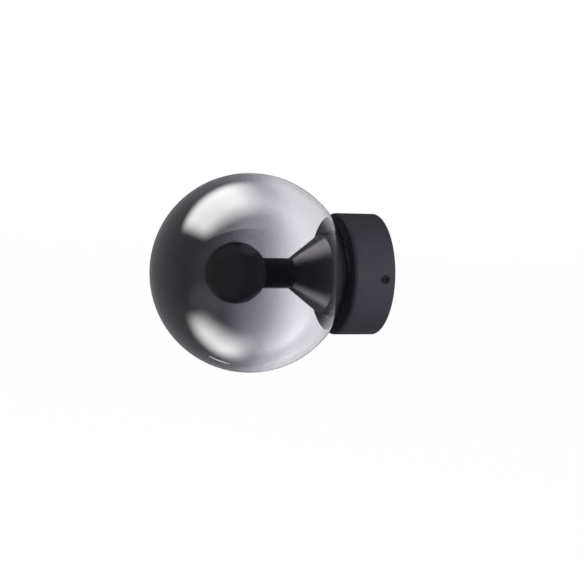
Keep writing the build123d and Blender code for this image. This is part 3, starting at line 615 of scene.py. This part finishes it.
# patches of light in the world's directions: an axis, the two places along it where the patch starts and where it
# is full, and its strengths at both
room_patches = [
    ((-1.0, 0.0, 0.0), -0.7, 1.0, 0.03, 0.18),          # a dim room, lighter behind the lamp
    ((0.2, -0.84, -0.48), 0.90, 0.99, 0.0, 0.12),       # haze above the lower highlight
    ((0.55, -0.83, 0.06), 0.75, 0.97, 0.0, 0.045),      # haze over the ball
    ((-0.64, 0.49, -0.59), 0.94, 0.985, 0.0, 0.35),     # the globe's lower right rim
    ((0.78, -0.29, 0.55), 0.975, 0.995, 0.0, 0.09),     # the arc over the ball
]
ambient_patches = [
    ((1.0, 0.0, 0.0), 0.3, 1.0, 0.08, 0.55),
    ((-1.0, 0.0, 0.0), 0.3, 1.0, 0.0, 0.40),
    ((0.0, 1.0, 0.0), 0.2, 0.9, 0.0, 0.35),
]
room_tone = (0.985, 0.975, 1.035)


def studio_world():
    """White to the camera and through the glass, a dim room to reflections, soft light to diffuse surfaces.

    Light that bounced and then passes on through the glass sees white too, near the photograph's line of sight.
    """
    world = bpy.data.worlds.new("studio")
    scene.world = world
    world.use_nodes = True
    world.node_tree.nodes.clear()
    w = Tree(world.node_tree, "ShaderNodeTexCoord", "Generated")
    path = w.add("ShaderNodeLightPath").outputs

    def towards(axis, *step):
        """A soft step with the ray's direction along an axis."""
        dot = w.add("ShaderNodeVectorMath", {0: w.spot, 1: axis}, operation="DOT_PRODUCT")
        return w.span(dot.outputs["Value"], *step)

    def patches(rows):
        total = towards(*rows[0])
        for row in rows[1:]:
            total = w.maths("ADD", total, towards(*row))
        return total

    lit = w.mix(path["Is Diffuse Ray"], patches(room_patches), patches(ambient_patches))
    bounces = w.maths("ADD", path["Glossy Depth"], path["Diffuse Depth"])
    onward = w.maths("MULTIPLY", path["Is Transmission Ray"], towards(tuple(forward), 0.45, 0.85, 0.0, 1.0))
    direct = w.maths("MAXIMUM", w.maths("LESS_THAN", bounces, 0.5), onward)
    tone = w.blend(direct, room_tone, (1, 1, 1))
    background = w.add("ShaderNodeBackground", {"Color": tone, "Strength": w.mix(direct, lit, 1.0)})
    w.add("ShaderNodeOutputWorld", {"Surface": background.outputs[0]})


def studio_floor():
    """A pale floor well below, white to the camera and with the object's soft shadow.

    Light that has passed the glass and nothing else sees plain white, and light that has bounced goes through.
    """
    f = Finish("studio_floor")
    path = f.add("ShaderNodeLightPath").outputs
    pale = f.blend(f.noise(0.004, 4.0), (0.78, 0.78, 0.78), (0.82, 0.82, 0.82))
    matt = f.add("ShaderNodeBsdfDiffuse", {"Color": pale}).outputs[0]
    shown = f.maths("MULTIPLY", path["Is Camera Ray"], floor_glow)
    glow = f.add("ShaderNodeEmission", {"Strength": shown}).outputs[0]
    lit = f.add("ShaderNodeAddShader", {0: matt, 1: glow}).outputs[0]
    white = f.add("ShaderNodeEmission", {"Strength": 1.0}).outputs[0]
    gone = f.add("ShaderNodeBsdfTransparent").outputs[0]
    direct = f.maths("LESS_THAN", f.maths("ADD", path["Glossy Depth"], path["Diffuse Depth"]), 0.5)
    refracted = f.maths("MULTIPLY", path["Is Transmission Ray"], direct)
    f.done(f.shaders(refracted, f.shaders(direct, gone, lit), white))
    half = floor_size / 2
    corners = [(x, y, floor_height) for x, y in ((-half, -half), (half, -half), (half, half), (-half, half))]
    mesh = bpy.data.meshes.new("studio_floor")
    mesh.from_pydata(corners, [], [(0, 1, 2, 3)])
    mesh.materials.append(f.material)
    floor = bpy.data.objects.new("studio_floor", mesh)
    scene.collection.objects.link(floor)
    floor.visible_glossy = False
    floor.visible_diffuse = False


def area_light(name, shape, width, depth, radiance, colour=(1.0, 1.0, 1.0)):
    """A panel that the camera doesn't see, with its radiance where its strength is 1."""
    light = bpy.data.lights.new(name, "AREA")
    light.shape = shape
    light.size = width
    light.size_y = depth
    light.energy = radiance * math.pi * width * depth
    light.color = colour
    lamp = bpy.data.objects.new(name, light)
    scene.collection.objects.link(lamp)
    lamp.visible_camera = False
    return lamp


def softbox(name, height, radiance, left, right, far, near, tail=0.0, cut=None, slant=0.0):
    """A level panel above or below the globe with soft edges, for reflections only.

    Each edge is given by the places where its light begins and where it is full, as shares of the height:
    left and right along X, far and near along Y from the globe's centre. tail is the share of light left beyond
    the right edge, and cut gives the line where that ends: its place along X and how this goes with Y. slant turns
    the left edge out of line with Y, about slant_pivot.
    """
    slant_pivot = -0.8
    cut_half = 0.02
    margin = 0.1                        # of the panel beyond its cut
    size = abs(height)
    far_right = right[0] if cut is None else cut[0] + margin
    width, depth = (far_right - left[0]) * size, (near[0] - far[0]) * size
    lamp = area_light(name, "RECTANGLE", width, depth, radiance, warm_white)
    lamp.data.use_nodes = True
    p = Tree(lamp.data.node_tree, "ShaderNodeNewGeometry", "Position")
    x, y = p.split()[:2]
    across = p.maths("MULTIPLY", x, 1.0 / size)
    along = p.maths("MULTIPLY", p.maths("ADD", y, globe_out), 1.0 / size)
    lean = p.maths("MULTIPLY", p.maths("SUBTRACT", along, slant_pivot), slant)
    fade = p.span(p.maths("MULTIPLY", across, -1.0), -right[0], -right[1])
    shares = [
        p.span(p.maths("SUBTRACT", across, lean), *left),
        p.span(along, *far),
        p.span(p.maths("MULTIPLY", along, -1.0), -near[0], -near[1]),
        p.maths("MAXIMUM", fade, tail),
    ]
    if cut is not None:
        beyond = p.maths("SUBTRACT", p.maths("MULTIPLY", along, cut[1]), across)
        shares.append(p.span(beyond, -cut[0] - cut_half, -cut[0] + cut_half))
    share = shares[0]
    for other in shares[1:]:
        share = p.maths("MULTIPLY", share, other)
    p.feed(lamp.data.node_tree.nodes["Emission"].inputs["Strength"], share)
    lamp.location = ((left[0] + far_right) / 2 * size, (far[0] + near[0]) / 2 * size - globe_out, height)
    if height < 0:
        lamp.rotation_euler = (math.pi, 0, 0)
    lamp.visible_diffuse = False


def glint_strip():
    """A narrow strip that draws one thin line low on the globe."""
    start, end = Vector((-0.511, -0.242, -0.662)), Vector((-0.479, -0.081, -0.689))
    glint = Vector((0.037, -0.172, -0.083))             # the line's place on the globe
    middle = (start + end) / 2
    lamp = area_light("glint_strip", "ELLIPSE", (end - start).length, 0.022, 2.1, warm_white)
    along = (end - start).normalized()
    side = (middle - glint).normalized().cross(along).normalized()
    turned = Matrix((along, side, along.cross(side))).transposed()
    lamp.matrix_world = Matrix.Translation(middle) @ turned.to_4x4()
    lamp.visible_diffuse = False
    lamp.visible_transmission = False


def fill(name, width, depth, radiance, location, target):
    """Plain light on the parts that scatter it, which no reflection and no glass shows."""
    lamp = area_light(name, "RECTANGLE", width, depth, radiance)
    lamp.location = location
    lamp.rotation_euler = (Vector(target) - lamp.location).to_track_quat("-Z", "Y").to_euler()
    lamp.visible_glossy = False
    lamp.visible_transmission = False


studio_world()
studio_floor()
softbox("upper_softbox", 1.1, 3.8, (-1.20, -0.60), (0.54, -0.14), (-1.75, -0.95), (0.40, -0.20),
        tail=0.10, cut=(0.75, 0.278), slant=0.14)
softbox("lower_softbox", -0.70, 3.4, (-0.62, -0.10), (0.52, -0.14), (-1.57, -0.60), (0.18, -0.26))
glint_strip()
fill("side_fill", 0.8, 0.5, 4.2, (0.75, 0.16, 0.02), (0, -0.02, 0))
fill("rear_fill", 0.5, 0.5, 11.0, (0, 1.2, 0), (0, 0, 0))
